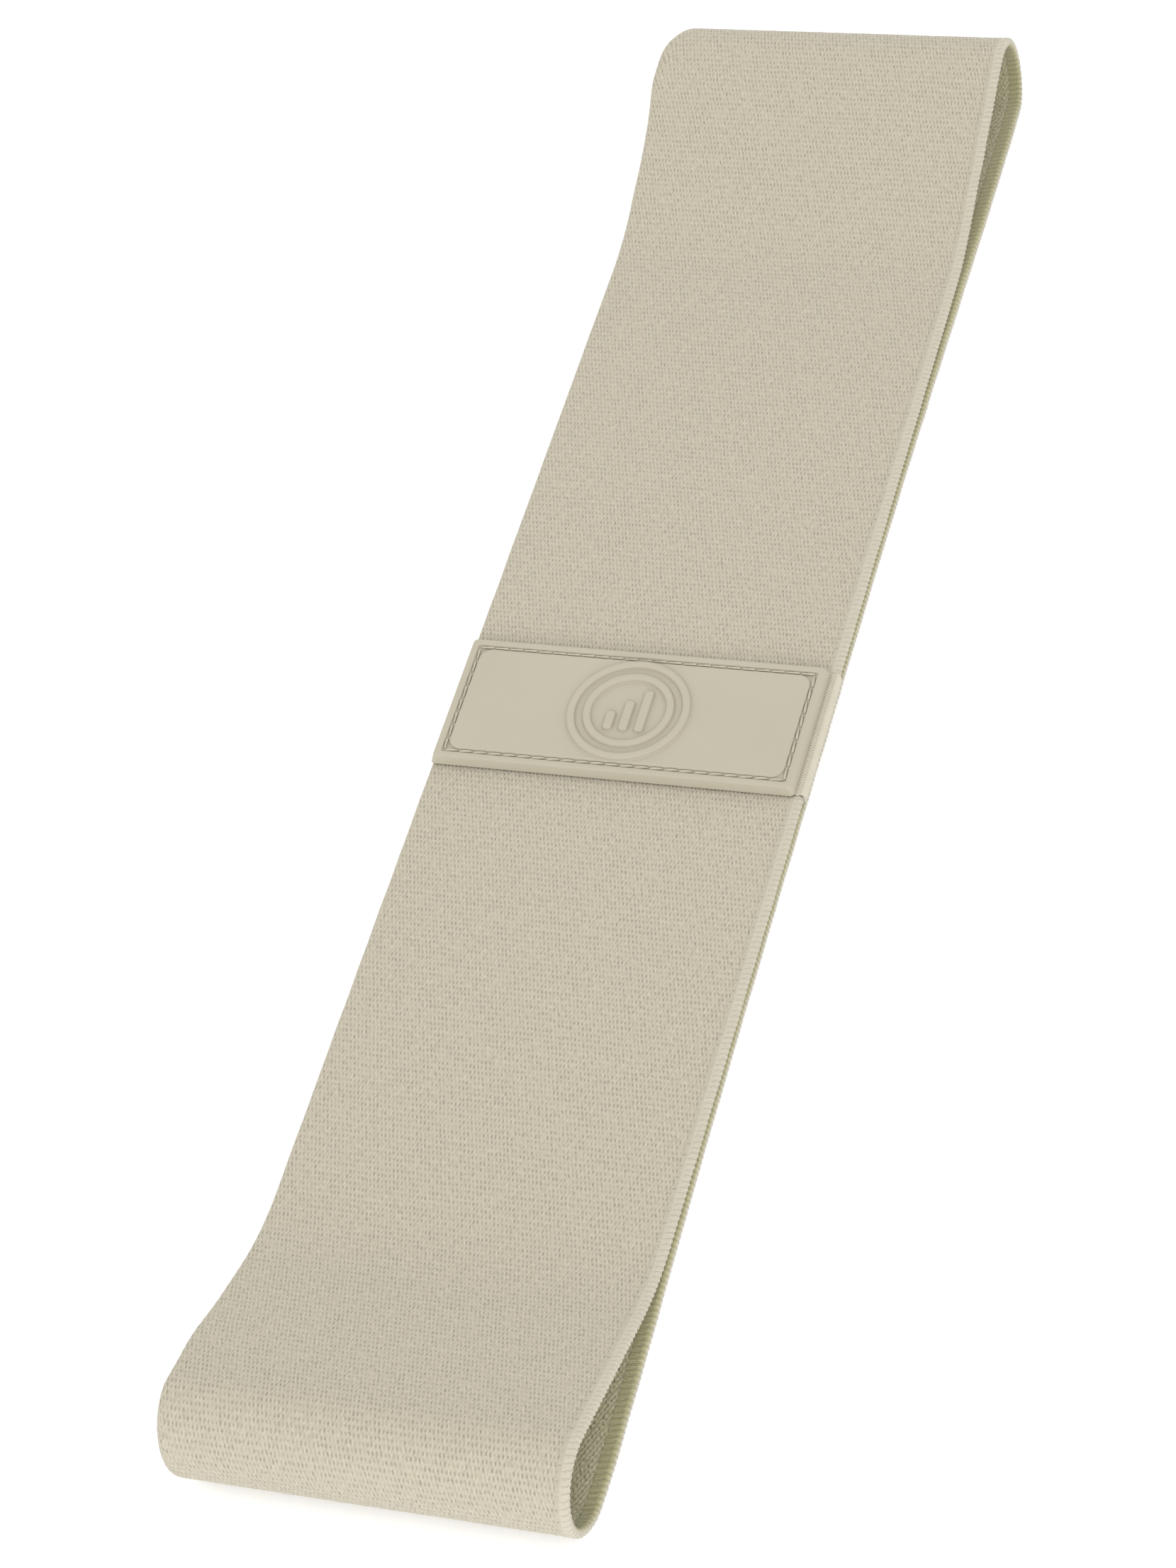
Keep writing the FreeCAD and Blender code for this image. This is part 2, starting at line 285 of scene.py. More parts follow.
def spread(y, v):
    """How far the relaxed webbing's edges stand outside their straight lines."""
    right, left = (
        sum(height * hump(side * v, place, before, after)
            for height, side, place, before, after in swells)
        for swells in (RIGHT_SWELLS, LEFT_SWELLS)
    )
    share = (y / HALF_WIDTH) ** 2
    return np.where(y > 0, left * share, -right * share)


# Pull on each fold's left corner: amount, first y, its reach in y, first x, its reach in x
FAR_PULL = (7.0, 34.5, 6.0, 166.0, 25.0)
NEAR_PULL = (2.4, 36.5, 3.5, 178.0, 14.0)


def pull(x, y, amount, from_y, over_y, from_x, over_x):
    """How far one fold's left corner is drawn back."""
    return amount * np.clip((y - from_y) / over_y, 0, 1) ** 3 * smooth((x - from_x) / over_x)


def corner_pull(x, y):
    """How far the folds are drawn back towards the loop's middle at their left corners."""
    return pull(-x, y, *NEAR_PULL) - pull(x, y, *FAR_PULL)


# A step between two points of a section that leaves the surface more steeply is a corner
CORNER_SINE = 0.6


def turns(section, step):
    """Which points of a section meet their neighbour, step places on, at a corner."""
    y, n, dy, dn, _ = section
    to_y, to_n = np.roll(y, -step) - y, np.roll(n, -step) - n
    steep = np.abs(to_y * dy + to_n * dn) > CORNER_SINE * np.hypot(to_y, to_n)
    return steep[None, :, None]


def place_yarn(section, v, n, height, path, loose):
    """Points of a section's outline at each place v along the loop, in metres."""
    y, _, dy, dn, u = (column[None, :] for column in section)
    along = v + STRAY * loose * wobble(u, v, 3.1, 17.0)
    across = y + loose * (STRAY * wobble(u, v, 1.3, 11.0) + spread(y, v)) + height * dy
    x, z, nx, nz = path(along)
    out = n + height * dn
    x = x + out * nx
    x = x + loose * corner_pull(x, across)
    return np.stack([x, across, z + out * nz], -1) * MM


def sweep(name, s, section, relief, material, path=loop_path, loose=1.0):
    """A closed strip along the loop. section holds y, n, dy, dn and u for each point round
    its outline, and relief(u, v, y, n) gives the height of the yarn there and a recess depth,
    which some materials turn into painted shade."""
    step = s[1] - s[0]
    s = np.concatenate([[s[0] - step], s, [s[-1] + step]])
    y, n, dy, dn, u = (column[None, :] for column in section)
    v = s[:, None] + 0 * u
    height, depth = relief(u + 0 * v, v, y + 0 * v, n + 0 * v)
    points = place_yarn(section, v, n, height, path, loose)
    ahead = points[2:] - points[:-2]
    after = np.where(turns(section, 1), points, np.roll(points, -1, 1))
    before = np.where(turns(section, -1), points, np.roll(points, 1, 1))
    normals = np.cross(ahead, (after - before)[1:-1])
    normals /= np.linalg.norm(normals, axis=-1, keepdims=True) + 1e-12
    points, v, depth = points[1:-1], v[1:-1], depth[1:-1]
    face = (np.abs(dy) + np.abs(dn) > 0)[0]
    faces = grid_faces(*v.shape)
    if not face.all():
        low = np.where(face, np.sign(n) * CAP_LEVEL, n) if loose else n
        sink = 0.0 if loose else TAPE_SINK
        v, depth, normals = (np.concatenate([a[:1], a, a[-1:]]) for a in (v, depth, normals))
        ends = place_yarn(section, v[[0, -1]], low, -sink, path, loose)
        points = np.concatenate([ends[:1], points, ends[1:]])
        faces = grid_faces(*v.shape)
        if loose:
            first = strip_cap(y[0], face)
            faces = [faces[0], first, first[:, ::-1] + (len(v) - 1) * v.shape[1]]
    mesh = fill_mesh(name, points.reshape(-1, 3), faces)
    # The weave attribute holds u, v and the recess depth; the inside, selvedge and tape materials
    # turn that depth into painted shade
    weave = mesh.attributes.new("weave", "FLOAT_VECTOR", "POINT")
    data = np.stack([u + 0 * v, v, depth], -1).astype(np.float32)
    weave.data.foreach_set("vector", data.ravel())
    mesh.normals_split_custom_set_from_vertices(normals.reshape(-1, 3))
    return new_object(name, mesh, material)


def lengths(start, end, step):
    """Places along the loop from start to end, on one shared grid."""
    first, last = round(start / step), round(end / step)
    return np.arange(min(first, last), max(first, last) + 1) * step


# --------------------------------------------------------------- sections and relief
def section(points):
    """Section arrays from (y, n, dy, dn, u) rows."""
    return tuple(np.array(column, float) for column in zip(*points))


def outline(corner_y, edge_y, spacing, coarse):
    """Round an edge of the webbing, from under corner_y out to edge_y and back on top."""
    side = 1 if edge_y > corner_y else -1
    reach, centre = 0.8, edge_y - side * 0.8
    angles = np.linspace(-math.pi / 2, math.pi / 2, 60)
    y = np.concatenate([[corner_y], centre + side * reach * np.cos(angles), [corner_y]])
    n = np.concatenate([[-HALF_THICK], HALF_THICK * np.sin(angles), [HALF_THICK]])
    run = np.concatenate([[0], np.cumsum(np.hypot(np.diff(y), np.diff(n)))])
    from_top = run[-1] - run
    marks = np.arange(0, run[-1], spacing)
    if coarse:
        marks = marks[(marks < run[-1] - coarse) | (marks > run[-1] - 0.01)]
        marks = np.append(marks, run[-1])
    marks = marks[::-1]
    y2 = np.interp(marks, from_top[::-1], y[::-1])
    n2 = np.interp(marks, from_top[::-1], n[::-1])
    dy = np.where(side * (y2 - centre) > 0, (y2 - centre) / reach, 0.0)
    dn = n2 / HALF_THICK
    size = np.hypot(dy, dn) + 1e-9
    u = corner_y + side * marks
    rows = list(zip(y2, n2, dy / size, dn / size, u))
    return rows if side > 0 else rows[::-1]


LEFT_COLUMNS, RIGHT_COLUMNS = 96, 92
LEFT_JOIN = LEFT_COLUMNS * COLUMN
RIGHT_JOIN = -RIGHT_COLUMNS * COLUMN
UNDERSIDE = (RIGHT_JOIN, -12.0, 13.0, 28.0, 32.0, 34.0, 35.5, 36.7, 37.9, LEFT_JOIN)


def outside_section():
    """The outer cloth between its two edges: yarn columns above, a plain face below."""
    columns = range(LEFT_COLUMNS, -RIGHT_COLUMNS - 1, -1)
    rows = [(k * COLUMN, HALF_THICK, 0, 1, k * COLUMN) for k in columns]
    rows += [(y, CORE_HALF, 0, 0, y) for y in UNDERSIDE]
    return section(rows)


def inside_section():
    """The inner cloth between its two edges, facing the inside of the loop."""
    columns = range(-RIGHT_COLUMNS, LEFT_COLUMNS + 1)
    rows = [(k * COLUMN, -HALF_THICK, 0, -1, k * COLUMN) for k in columns]
    rows += [(y, -CORE_HALF, 0, 0, y) for y in UNDERSIDE[::-1]]
    return section(rows)


def openness(v):
    """How far the weave is stretched open, 0 on the flat runs and 1 round the end turns."""
    far = np.exp(-(((v - 198.0) / 17.0) ** 2))
    near = np.exp(-(((v + 199.0) / 18.0) ** 2))
    return np.maximum(far, near)


def weave_relief(u, v, y, n):
    """Yarns crossing over staggered pin-holes, each hole of its own depth."""
    column, row = u / COLUMN, v / ROW
    wave = np.cos(math.pi * column) * np.cos(math.pi * row)
    hole = np.clip((-wave - 0.1) / 0.9, 0, 1) ** 1.3
    uneven = cell_noise(np.round(column), np.round(row), 1.0)
    third = 0.5 + 0.5 * np.cos(2 * math.pi * (u / (6 * COLUMN) + v / (2 * ROW)))
    deep = 0.19 * (0.4 + 0.6 * uneven) * (0.7 + 0.4 * third) * (1 + 0.5 * openness(v))
    ridge = 0.04 * (0.5 - 0.5 * np.cos(2 * math.pi * row))
    swell = 0.03 * wobble(u, v, 7.0, 9.0)
    lift = 0.06 * (cell_noise(np.round(column), np.round(row), 2.0) - 0.5)
    height = -deep * hole - ridge + swell - 0.05 + lift
    top = n > CORE_HALF + 0.01
    return np.where(top, height, 0.0), np.where(top, hole * deep / 0.3, 0.0)


def inside_relief(u, v, y, n):
    """Coarser pebbles in slanting lines on the inside of the loop."""
    column, row = u / COLUMN, v / ROW
    wave = np.cos(math.pi * column) * np.cos(math.pi * row)
    uneven = cell_noise(np.round(column), np.round(2 * row), 5.0)
    twill = 0.5 + 0.5 * np.cos(2 * math.pi * (column / 4 + row))
    height = -0.14 * twill - 0.12 * np.clip(-wave, 0, 1) - 0.08 * uneven
    face = n < -CORE_HALF - 0.01
    # The second value is the pebbles' recess depth, which the inside material turns into painted
    # shade
    return np.where(face, height, 0.0), np.where(face, -height / 0.34, 0.0)


def left_relief(u, v, y, n):
    """The weave running out into a smooth left edge."""
    height, depth = weave_relief(u, v, y, HALF_THICK + 0 * n)
    fade = np.clip((n + HALF_THICK) / 0.4, 0, 1)
    calm = 1 - 0.8 * smooth((u - LEFT_JOIN - 0.1) / 0.6)
    return height * fade * calm, depth * fade * calm


def rib_relief(u, v, y, n):
    """Whip-stitched ribs round the right edge, with a column of slits inside them."""
    q = RIGHT_JOIN - u
    phase = 2 * math.pi * (v + 0.22 * q + 0.14 * wobble(u, v, 4.0, 6.0)) / ROW
    strong = 0.6 + 0.7 * cell_noise(np.round(v / ROW), 0, 6.0)
    outer = smooth((q - 0.9) / 0.6)
    edge = smooth((q - 1.6) / 1.2)
    inner = smooth((q - 3.5) / 0.8)
    rib = (0.02 * outer + 0.05 * edge - 0.045 * inner) * np.cos(phase)
    fine = 0.03 * outer * np.cos(2 * phase + 0.9 * np.sin(phase))
    dot_phase = np.abs((phase / (2 * math.pi) + 0.5) % 1 - 0.5) * ROW
    dot = 0.14 * strong * np.exp(-(((q - 1.65) / 0.2) ** 2)) * np.exp(-((dot_phase / 0.16) ** 2))
    slit_row = np.abs((v / (2 * ROW) + 0.5) % 1 - 0.5) * 2 * ROW
    slit = 0.18 * strong * np.exp(-(((q - 0.35) / 0.34) ** 4)) * np.exp(-((slit_row / 0.15) ** 2))
    groove = 0.05 * np.exp(-(((q - 0.85) / 0.18) ** 2))
    under = smooth((-n - 0.2) / 0.5) * smooth((-y - 38.6) / 0.5)
    bulge = 0.20 * under * (0.6 + 0.4 * np.cos(phase))
    swell = 0.02 * wobble(u, v, 9.0, 7.0)
    height = rib + fine - dot - slit - groove + bulge + swell - 0.03 * (1 - outer)
    # The second value marks the dots, slits and groove, which the selvedge material darkens as
    # painted shade
    return height, np.clip((dot + slit + groove) / 0.3, 0, 1)


# ------------------------------------------------------------------------ materials
class Nodes:
    """Short-hand for building one material's node tree."""

    def __init__(self, name):
        self.material = bpy.data.materials.new(name)
        self.material.use_nodes = True
        self.tree = self.material.node_tree
        self.shader = self.tree.nodes["Principled BSDF"]

    def add(self, kind, **values):
        node = self.tree.nodes.new(kind)
        for key, value in values.items():
            setattr(node, key, value)
        return node

    def put(self, value, socket):
        if isinstance(value, bpy.types.NodeSocket):
            self.tree.links.new(value, socket)
        elif value is not None:
            socket.default_value = value

    def math(self, operation, a, b=None, c=None):
        node = self.add("ShaderNodeMath", operation=operation)
        for value, socket in zip((a, b, c), node.inputs):
            self.put(value, socket)
        return node.outputs[0]

    def ramp(self, value, low, high, out_low=0.0, out_high=1.0):
        node = self.add("ShaderNodeMapRange", interpolation_type="SMOOTHSTEP")
        for name, v in (("Value", value), ("From Min", low), ("From Max", high),
                        ("To Min", out_low), ("To Max", out_high)):
            self.put(v, node.inputs[name])
        return node.outputs[0]

    def mix(self, factor, a, b):
        node = self.add("ShaderNodeMix", data_type="RGBA")
        self.put(factor, node.inputs[0])
        self.put(a, node.inputs[6])
        self.put(b, node.inputs[7])
        return node.outputs[2]

    def noise(self, vector, scale, detail=2.0, roughness=0.5):
        node = self.add("ShaderNodeTexNoise")
        self.put(vector, node.inputs["Vector"])
        node.inputs["Scale"].default_value = scale
        node.inputs["Detail"].default_value = detail
        node.inputs["Roughness"].default_value = roughness
        return node.outputs[0]

    def cell(self, vector):
        node = self.add("ShaderNodeTexWhiteNoise", noise_dimensions="3D")
        self.put(vector, node.inputs["Vector"])
        return node.outputs[0]

    def vector(self, x, y, z=0.0):
        node = self.add("ShaderNodeCombineXYZ")
        for value, socket in zip((x, y, z), node.inputs):
            self.put(value, socket)
        return node.outputs[0]

    def split(self, vector):
        node = self.add("ShaderNodeSeparateXYZ")
        self.put(vector, node.inputs[0])
        return node.outputs[0], node.outputs[1], node.outputs[2]

    def attribute(self, name):
        return self.add("ShaderNodeAttribute", attribute_name=name).outputs["Vector"]

    def place(self):
        return self.add("ShaderNodeTexCoord").outputs["Object"]

    def fuzz(self, scale=5200.0):
        return self.noise(self.place(), scale, 3.0, 0.6)

    def bump(self, height, distance):
        node = self.add("ShaderNodeBump")
        node.inputs["Distance"].default_value = distance
        node.inputs["Strength"].default_value = 1.0
        self.put(height, node.inputs["Height"])
        return node.outputs[0]

    def finish(self, colour, normal, roughness, specular=0.3, sheen=0.0, sheen_roughness=0.5):
        inputs = self.shader.inputs
        self.put(colour, inputs["Base Color"])
        self.put(normal, inputs["Normal"])
        self.put(roughness, inputs["Roughness"])
        inputs["Specular IOR Level"].default_value = specular
        inputs["Sheen Weight"].default_value = sheen
        inputs["Sheen Roughness"].default_value = sheen_roughness
        return self.material


def srgb(r, g, b):
    """A display colour as the linear colour the shader takes."""
    return tuple(((v / 255 + 0.055) / 1.055) ** 2.4 for v in (r, g, b)) + (1.0,)


CLOTH = srgb(160, 153, 135)
CLOTH_MIDDLE = srgb(170, 164, 146)
# A lighter yarn tone; on the outer and inner faces it is also painted highlight on the yarn crests
CLOTH_LIGHT = srgb(179, 172, 155)
# Painted shade for the pin-holes of the outer weave
CLOTH_PAINTED_SHADE = srgb(104, 99, 79)
INSIDE = srgb(188, 184, 147)
# Painted shade for the inner face's holes and recesses and for the selvedge's turned lining
INSIDE_PAINTED_SHADE = srgb(122, 118, 80)
EDGE = srgb(186, 180, 163)
# Painted shade for the selvedge's rib gaps and recesses and for the tape's recesses
EDGE_PAINTED_SHADE = srgb(122, 117, 98)
RUBBER = srgb(157, 151, 134)
TAPE = srgb(172, 166, 148)
THREAD = srgb(172, 166, 149)
THREAD_DARK = srgb(163, 157, 139)
FLOOR = (0.96, 0.96, 0.96, 1.0)
FLOOR_LIGHT = (0.98, 0.98, 0.98, 1.0)
TAPE_WEFT = 0.16


def yarn_nodes(m, u, v):
    """Pin-hole, yarn bead and strand amounts, from 0 to 1 each, at a place on the weave.
    The materials use the pin-hole amount for painted shade and the bead amount for painted
    highlight.
    """
    column, row = m.math("DIVIDE", u, COLUMN), m.math("DIVIDE", v, ROW)
    whole = m.math("ROUND", row)
    slant = m.math("SUBTRACT", row, whole)
    warp = m.noise(m.vector(u, v), 1.3, 2.0, 0.6)
    column2 = m.math("MULTIPLY_ADD", slant, 0.55, m.math("MULTIPLY_ADD", warp, 1.5, column))
    column2 = m.math("SUBTRACT", column2, 0.75)
    drift = m.noise(m.vector(v, u), 1.1, 2.0, 0.6)
    row2 = m.math("MULTIPLY_ADD", m.math("SUBTRACT", drift, 0.5), 0.9, row)
    wave = m.math(
        "MULTIPLY",
        m.math("COSINE", m.math("MULTIPLY", column2, math.pi)),
        m.math("COSINE", m.math("MULTIPLY", row2, math.pi)),
    )
    number = m.cell(m.vector(m.math("ROUND", column), whole))
    hole = m.math("MULTIPLY", m.ramp(wave, -0.4, -1.0), m.ramp(number, 0.0, 0.8, 0.35, 1.0))
    bead = m.ramp(wave, -0.4, 0.9)
    fibre = m.vector(m.math("MULTIPLY_ADD", v, 0.7, m.math("MULTIPLY", u, 2.8)),
                     m.math("MULTIPLY", v, 0.7))
    return hole, bead, m.noise(fibre, 1.0, 3.0, 0.65)


def cloth_material():
    m = Nodes("webbing")
    u, v, _ = m.split(m.attribute("weave"))
    hole, bead, strand = yarn_nodes(m, u, v)
    # Yarn crests are painted lighter as a painted highlight; the strand noise is the yarn's random
    # tone
    tone = m.math("MULTIPLY_ADD", bead, 0.4, m.ramp(strand, 0.3, 0.7, 0.0, 0.72))
    colour = m.mix(tone, CLOTH, CLOTH_LIGHT)
    # Pin-holes are darkened with painted shade
    colour = m.mix(m.math("MULTIPLY", hole, 0.3), colour, CLOTH_PAINTED_SHADE)
    fuzz = m.fuzz()
    height = m.math("MULTIPLY_ADD", strand, 2.0, m.math("MULTIPLY", fuzz, 0.5))
    height = m.math("ADD", height, bead)
    height = m.math("SUBTRACT", height, m.math("MULTIPLY", hole, 1.5))
    return m.finish(colour, m.bump(height, 0.0001), 0.92, 0.2, 0.25, 0.45)


def inside_material():
    m = Nodes("webbing_inside")
    u, v, depth = m.split(m.attribute("weave"))
    hole, bead, strand = yarn_nodes(m, u, m.math("MULTIPLY", v, 1.3))
    # Yarn crests are painted lighter as a painted highlight; holes and deep pebble recesses are
    # darkened with painted shade
    tone = m.math("MULTIPLY_ADD", bead, 0.5, m.math("MULTIPLY", strand, 0.5))
    colour = m.mix(tone, INSIDE, CLOTH_LIGHT)
    painted_shade = m.math("MAXIMUM", hole, m.ramp(depth, 0.2, 1.0))
    colour = m.mix(m.math("MULTIPLY", painted_shade, 0.6), colour, INSIDE_PAINTED_SHADE)
    fuzz = m.fuzz()
    height = m.math("MULTIPLY_ADD", strand, 2.0, m.math("ADD", bead, fuzz))
    return m.finish(colour, m.bump(height, 0.0001), 0.95, 0.15, 0.2, 0.5)


def edge_material():
    m = Nodes("selvedge")
    u, v, depth = m.split(m.attribute("weave"))
    slanted = m.math("MULTIPLY_ADD", u, -0.22, v)
    bend = m.noise(m.vector(u, v), 1.2, 2.0)
    slanted = m.math("MULTIPLY_ADD", bend, 0.35, slanted)
    lines = m.math("COSINE", m.math("MULTIPLY", slanted, 8 * math.pi / ROW))
    rib = m.math("COSINE", m.math("MULTIPLY", slanted, 2 * math.pi / ROW))
    clouds = m.noise(m.place(), 900.0, 3.0)
    tone = m.math("MULTIPLY_ADD", lines, 0.25, m.math("MULTIPLY", clouds, 0.9))
    colour = m.mix(tone, CLOTH_LIGHT, EDGE)
    outer = m.ramp(u, RIGHT_JOIN - 0.6, RIGHT_JOIN - 1.2)
    colour = m.mix(outer, CLOTH_MIDDLE, colour)
    # The gaps between the ribs and the dots, slits and groove are darkened with painted shade
    rib_gap_shade = m.math("MULTIPLY", m.ramp(rib, -0.5, -1.0),
                 m.ramp(u, RIGHT_JOIN - 0.8, RIGHT_JOIN - 1.6))
    painted_shade = m.math("MAXIMUM", m.math("MULTIPLY", rib_gap_shade, 0.28), m.ramp(depth, 0.1, 0.8, 0.0, 0.6))
    colour = m.mix(painted_shade, colour, EDGE_PAINTED_SHADE)
    # The turned lining inside the edge, darkened with painted shade, most of all between the ribs
    turned = m.ramp(u, RIGHT_JOIN - 3.3, RIGHT_JOIN - 4.1)
    lining_with_painted_shade = m.mix(m.ramp(rib, 0.2, -0.9, 0.35, 0.6), INSIDE, INSIDE_PAINTED_SHADE)
    colour = m.mix(turned, colour, lining_with_painted_shade)
    fuzz = m.fuzz()
    height = m.math("MULTIPLY_ADD", lines, 0.8, fuzz)
    return m.finish(colour, m.bump(height, 0.00006), 0.9, 0.2, 0.3, 0.45)


def rubber_material():
    m = Nodes("patch_rubber")
    clouds = m.noise(m.place(), 60.0, 3.0)
    grain = m.fuzz(2600.0)
    colour = m.mix(m.math("MULTIPLY", clouds, 0.4), RUBBER, CLOTH_MIDDLE)
    rough = m.ramp(grain, 0.3, 0.7, 0.5, 0.62)
    return m.finish(colour, m.bump(grain, 0.000012), rough, 0.35)


def thread_material():
    m = Nodes("thread")
    clouds = m.noise(m.place(), 900.0, 2.0)
    fuzz = m.fuzz(9000.0)
    colour = m.mix(clouds, THREAD_DARK, THREAD)
    return m.finish(colour, m.bump(fuzz, 0.00002), 0.75, 0.2, 0.1, 0.4)


def tape_material():
    m = Nodes("tape")
    _, v, depth = m.split(m.attribute("weave"))
    weft = m.math("SINE", m.math("MULTIPLY", v, 2 * math.pi / TAPE_WEFT))
    fuzz = m.fuzz(6000.0)
    clouds = m.noise(m.place(), 400.0, 2.0)
    colour = m.mix(clouds, TAPE, EDGE)
    # The ladder's recesses are darkened with painted shade
    colour = m.mix(m.math("MULTIPLY", m.ramp(depth, 0.2, 0.9), 0.75), colour, EDGE_PAINTED_SHADE)
    height = m.math("ADD", m.math("MULTIPLY", weft, 0.3), fuzz)
    return m.finish(colour, m.bump(height, 0.00003), 0.85, 0.25, 0.3, 0.4)


def floor_material():
    m = Nodes("floor")
    clouds = m.noise(m.place(), 3.0)
    colour = m.mix(clouds, FLOOR, FLOOR_LIGHT)
    return m.finish(colour, None, 1.0, 0.0)


CLOTH_MAT = cloth_material()
INSIDE_MAT = inside_material()
EDGE_MAT = edge_material()
RUBBER_MAT = rubber_material()
THREAD_MAT = thread_material()
TAPE_MAT = tape_material()

# -------------------------------------------------------------------------- webbing
# Each length of webbing crosses one joint of the loop: its name, where it starts and ends
# along the loop, the two bodies it bends or stretches between, the places where it leaves
# the first and reaches the second, and the lengths of the part that it stands for.
FAR_TIE = front_s(PATCH_X + 0.3, FAR_END)
NEAR_TIE = -front_s(-PATCH_X + 0.3, NEAR_END)
LENGTHS = (
    ("back_far_fold", 0, 40, "back_middle", "far_back_arm",
     (15, 0, 0), (36, 0, 0), ("back_middle", "far_back_arm")),
    ("back_far_stretch", 40, 165, "far_back_arm", "far_back_tip",
     (42, 0, 0), (163, 0, 0), ("far_back_arm", "far_back_tip")),
    ("far_nose", 165, 216, "far_back_tip", "far_front_tip",
     (165, 0, 1.9), (171.93, 0, 19.23), ("far_back_tip", "far_front_tip")),
    ("front_far_stretch", 216, front_s(36, FAR_END), "far_front_tip", "far_front_arm",
     (122, 0, 0), (40, 0, 0), ("far_front_tip", "far_front_arm")),
    ("front_far_level", front_s(36, FAR_END), FAR_TIE, "far_front_arm", "front_middle",
     (33, 0, 0), (12, 0, 0), ("far_front_arm", "far_end")),
    ("front_near_end", -front_s(21, NEAR_END), NEAR_TIE, "front_middle", None,
     None, None, ("near_end",)),
    ("front_near_stretch", -front_s(21, NEAR_END), -218, "near_front_tip", "near_front_arm",
     (-126, 0, 0), (-40, 0, 0), ("near_front_tip", "near_front_arm")),
    ("near_nose", -218, -165, "near_back_tip", "near_front_tip",
     (-165, 0, 1.9), (-172.62, 0, 20.95), ("near_back_tip", "near_front_tip")),
    ("back_near_stretch", -165, -40, "near_back_arm", "near_back_tip",
     (-42, 0, 0), (-163, 0, 0), ("near_back_arm", "near_back_tip")),
    ("back_near_fold", -40, 0, "back_middle", "near_back_arm",
     (-15, 0, 0), (-36, 0, 0), ("back_middle", "near_back_arm")),
)
LAYERS = (
    ("webbing_outside", outside_section(), weave_relief, CLOTH_MAT, ROW / ROW_STEPS),
    ("webbing_inside", inside_section(), inside_relief, INSIDE_MAT, ROW / 2),
    ("selvedge_right", section(outline(RIGHT_JOIN, -HALF_WIDTH, 0.2, 1.4)), rib_relief,
     EDGE_MAT, ROW / 8),
    ("selvedge_left", section(outline(LEFT_JOIN, HALF_WIDTH, COLUMN, 0)), left_relief,
     CLOTH_MAT, ROW / ROW_STEPS),
)
STANDS_FOR = {
    "webbing_outside": ("outer_cloth", "rubber_threads"), "webbing_inside": ("inner_cloth",),
    "selvedge_right": ("selvedges",), "selvedge_left": ("selvedges",),
}


def make_webbing():
    for place, start, end, a, b, low, high, nodes in LENGTHS:
        for layer, shape, relief, material, step in LAYERS:
            s = lengths(round(start / ROW) * ROW, round(end / ROW) * ROW, step)
            piece = sweep(f"{layer}_{place}", s, shape, relief, material)
            if b is None:
                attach(piece, a)
            else:
                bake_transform(piece)
            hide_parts(*(f"{kind}_{n}" for kind in STANDS_FOR[layer] for n in nodes))


make_webbing()


# ----------------------------------------------------------------------------- tape
def tape_section():
    """From the tape's left end over the webbing, round its right edge and back below."""
    skin, under = HALF_THICK + TAPE_THICK, HALF_THICK
    edge = -HALF_WIDTH - TAPE_THICK
    rows = [(y, skin, 0, 1, y) for y in (39.9, 20.0, 0.0, -20.0, -37.6, -38.1)]
    rows += [(y, skin, 0, 1, y) for y in np.arange(-38.2, -39.75, -0.1)]
    centre, reach = edge + 0.6, 0.6
    for angle in np.linspace(80, 0, 7):
        c, t = math.cos(math.radians(angle)), math.sin(math.radians(angle))
        u = -39.75 - (80 - angle) / 80
        rows.append((centre - reach * c, skin - reach + reach * t, -c, t, u))
    for angle in np.linspace(0, -80, 7):
        c, t = math.cos(math.radians(angle)), math.sin(math.radians(angle))
        rows.append((centre - reach * c, -skin + reach + reach * t, -c, t, -41.5 + angle / 80))
    below = (-39.6, -38.8, -38.0, -34.0, -30.0, -26.05)
    rows += [(y, -skin, 0, -1, -42.6 - (y + 39.7)) for y in below]
    rows += [(y, -under, 0, 0, y) for y in (-26.0, -39.9)]
    rows += [(y, under, 0, 0, y) for y in (-39.95, 0.0, 39.9)]
    return section(rows)


def ladder_relief(u, v, y, n):
    """Two columns of small ovals and a line of slanted ticks along the tape's edge."""
    pitch = ROW / 2
    height, depth = 0 * u, 0 * u
    for centre, shift in ((-38.85, 0.0), (-39.4, 0.5)):
        beat = np.abs((v / pitch + shift + 0.5) % 1 - 0.5) * pitch
        column = np.exp(-(((u - centre) / 0.22) ** 4))
        oval = column * np.exp(-((beat / 0.2) ** 4))
        height = height + 0.10 * oval - 0.06 * column
        depth = depth + 0.9 * column * (1 - np.exp(-((beat / 0.22) ** 4)))
    slant = v + 0.9 * (u + 38.4)
    beat = np.abs((slant / pitch + 0.5) % 1 - 0.5) * pitch
    tick = np.exp(-(((u + 38.45) / 0.16) ** 2)) * np.exp(-((beat / 0.14) ** 2))
    height = height - 0.14 * tick
    depth = np.clip(depth + tick, 0, 1)
    band = 0.03 * np.exp(-(((u + 39.9) / 0.25) ** 2))
    side = np.clip((-u - 40.0) / 0.3, 0, 1) * np.clip((u + 42.4) / 0.3, 0, 1)
    ribs = 0.05 * side * np.cos(2 * math.pi * v / pitch)
    face = np.abs(n) > HALF_THICK + 0.01
    face = face | (y < -HALF_WIDTH - 0.05)
    # The second value marks the recesses between the ovals and along the ticks, which the tape
    # material darkens as painted shade
    return np.where(face, height + band + ribs, 0.0), np.where(face, depth, 0.0)


def make_tape():
    step = ROW / 12
    s = lengths(-PATCH_X - TAPE_LENGTH / 2, -PATCH_X + TAPE_LENGTH / 2, step)
    tape = sweep("joint_tape_woven", s, tape_section(), ladder_relief, TAPE_MAT,
                 straight_path, 0.0)
    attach(tape, "front_middle")
    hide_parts("joint_tape")


make_tape()


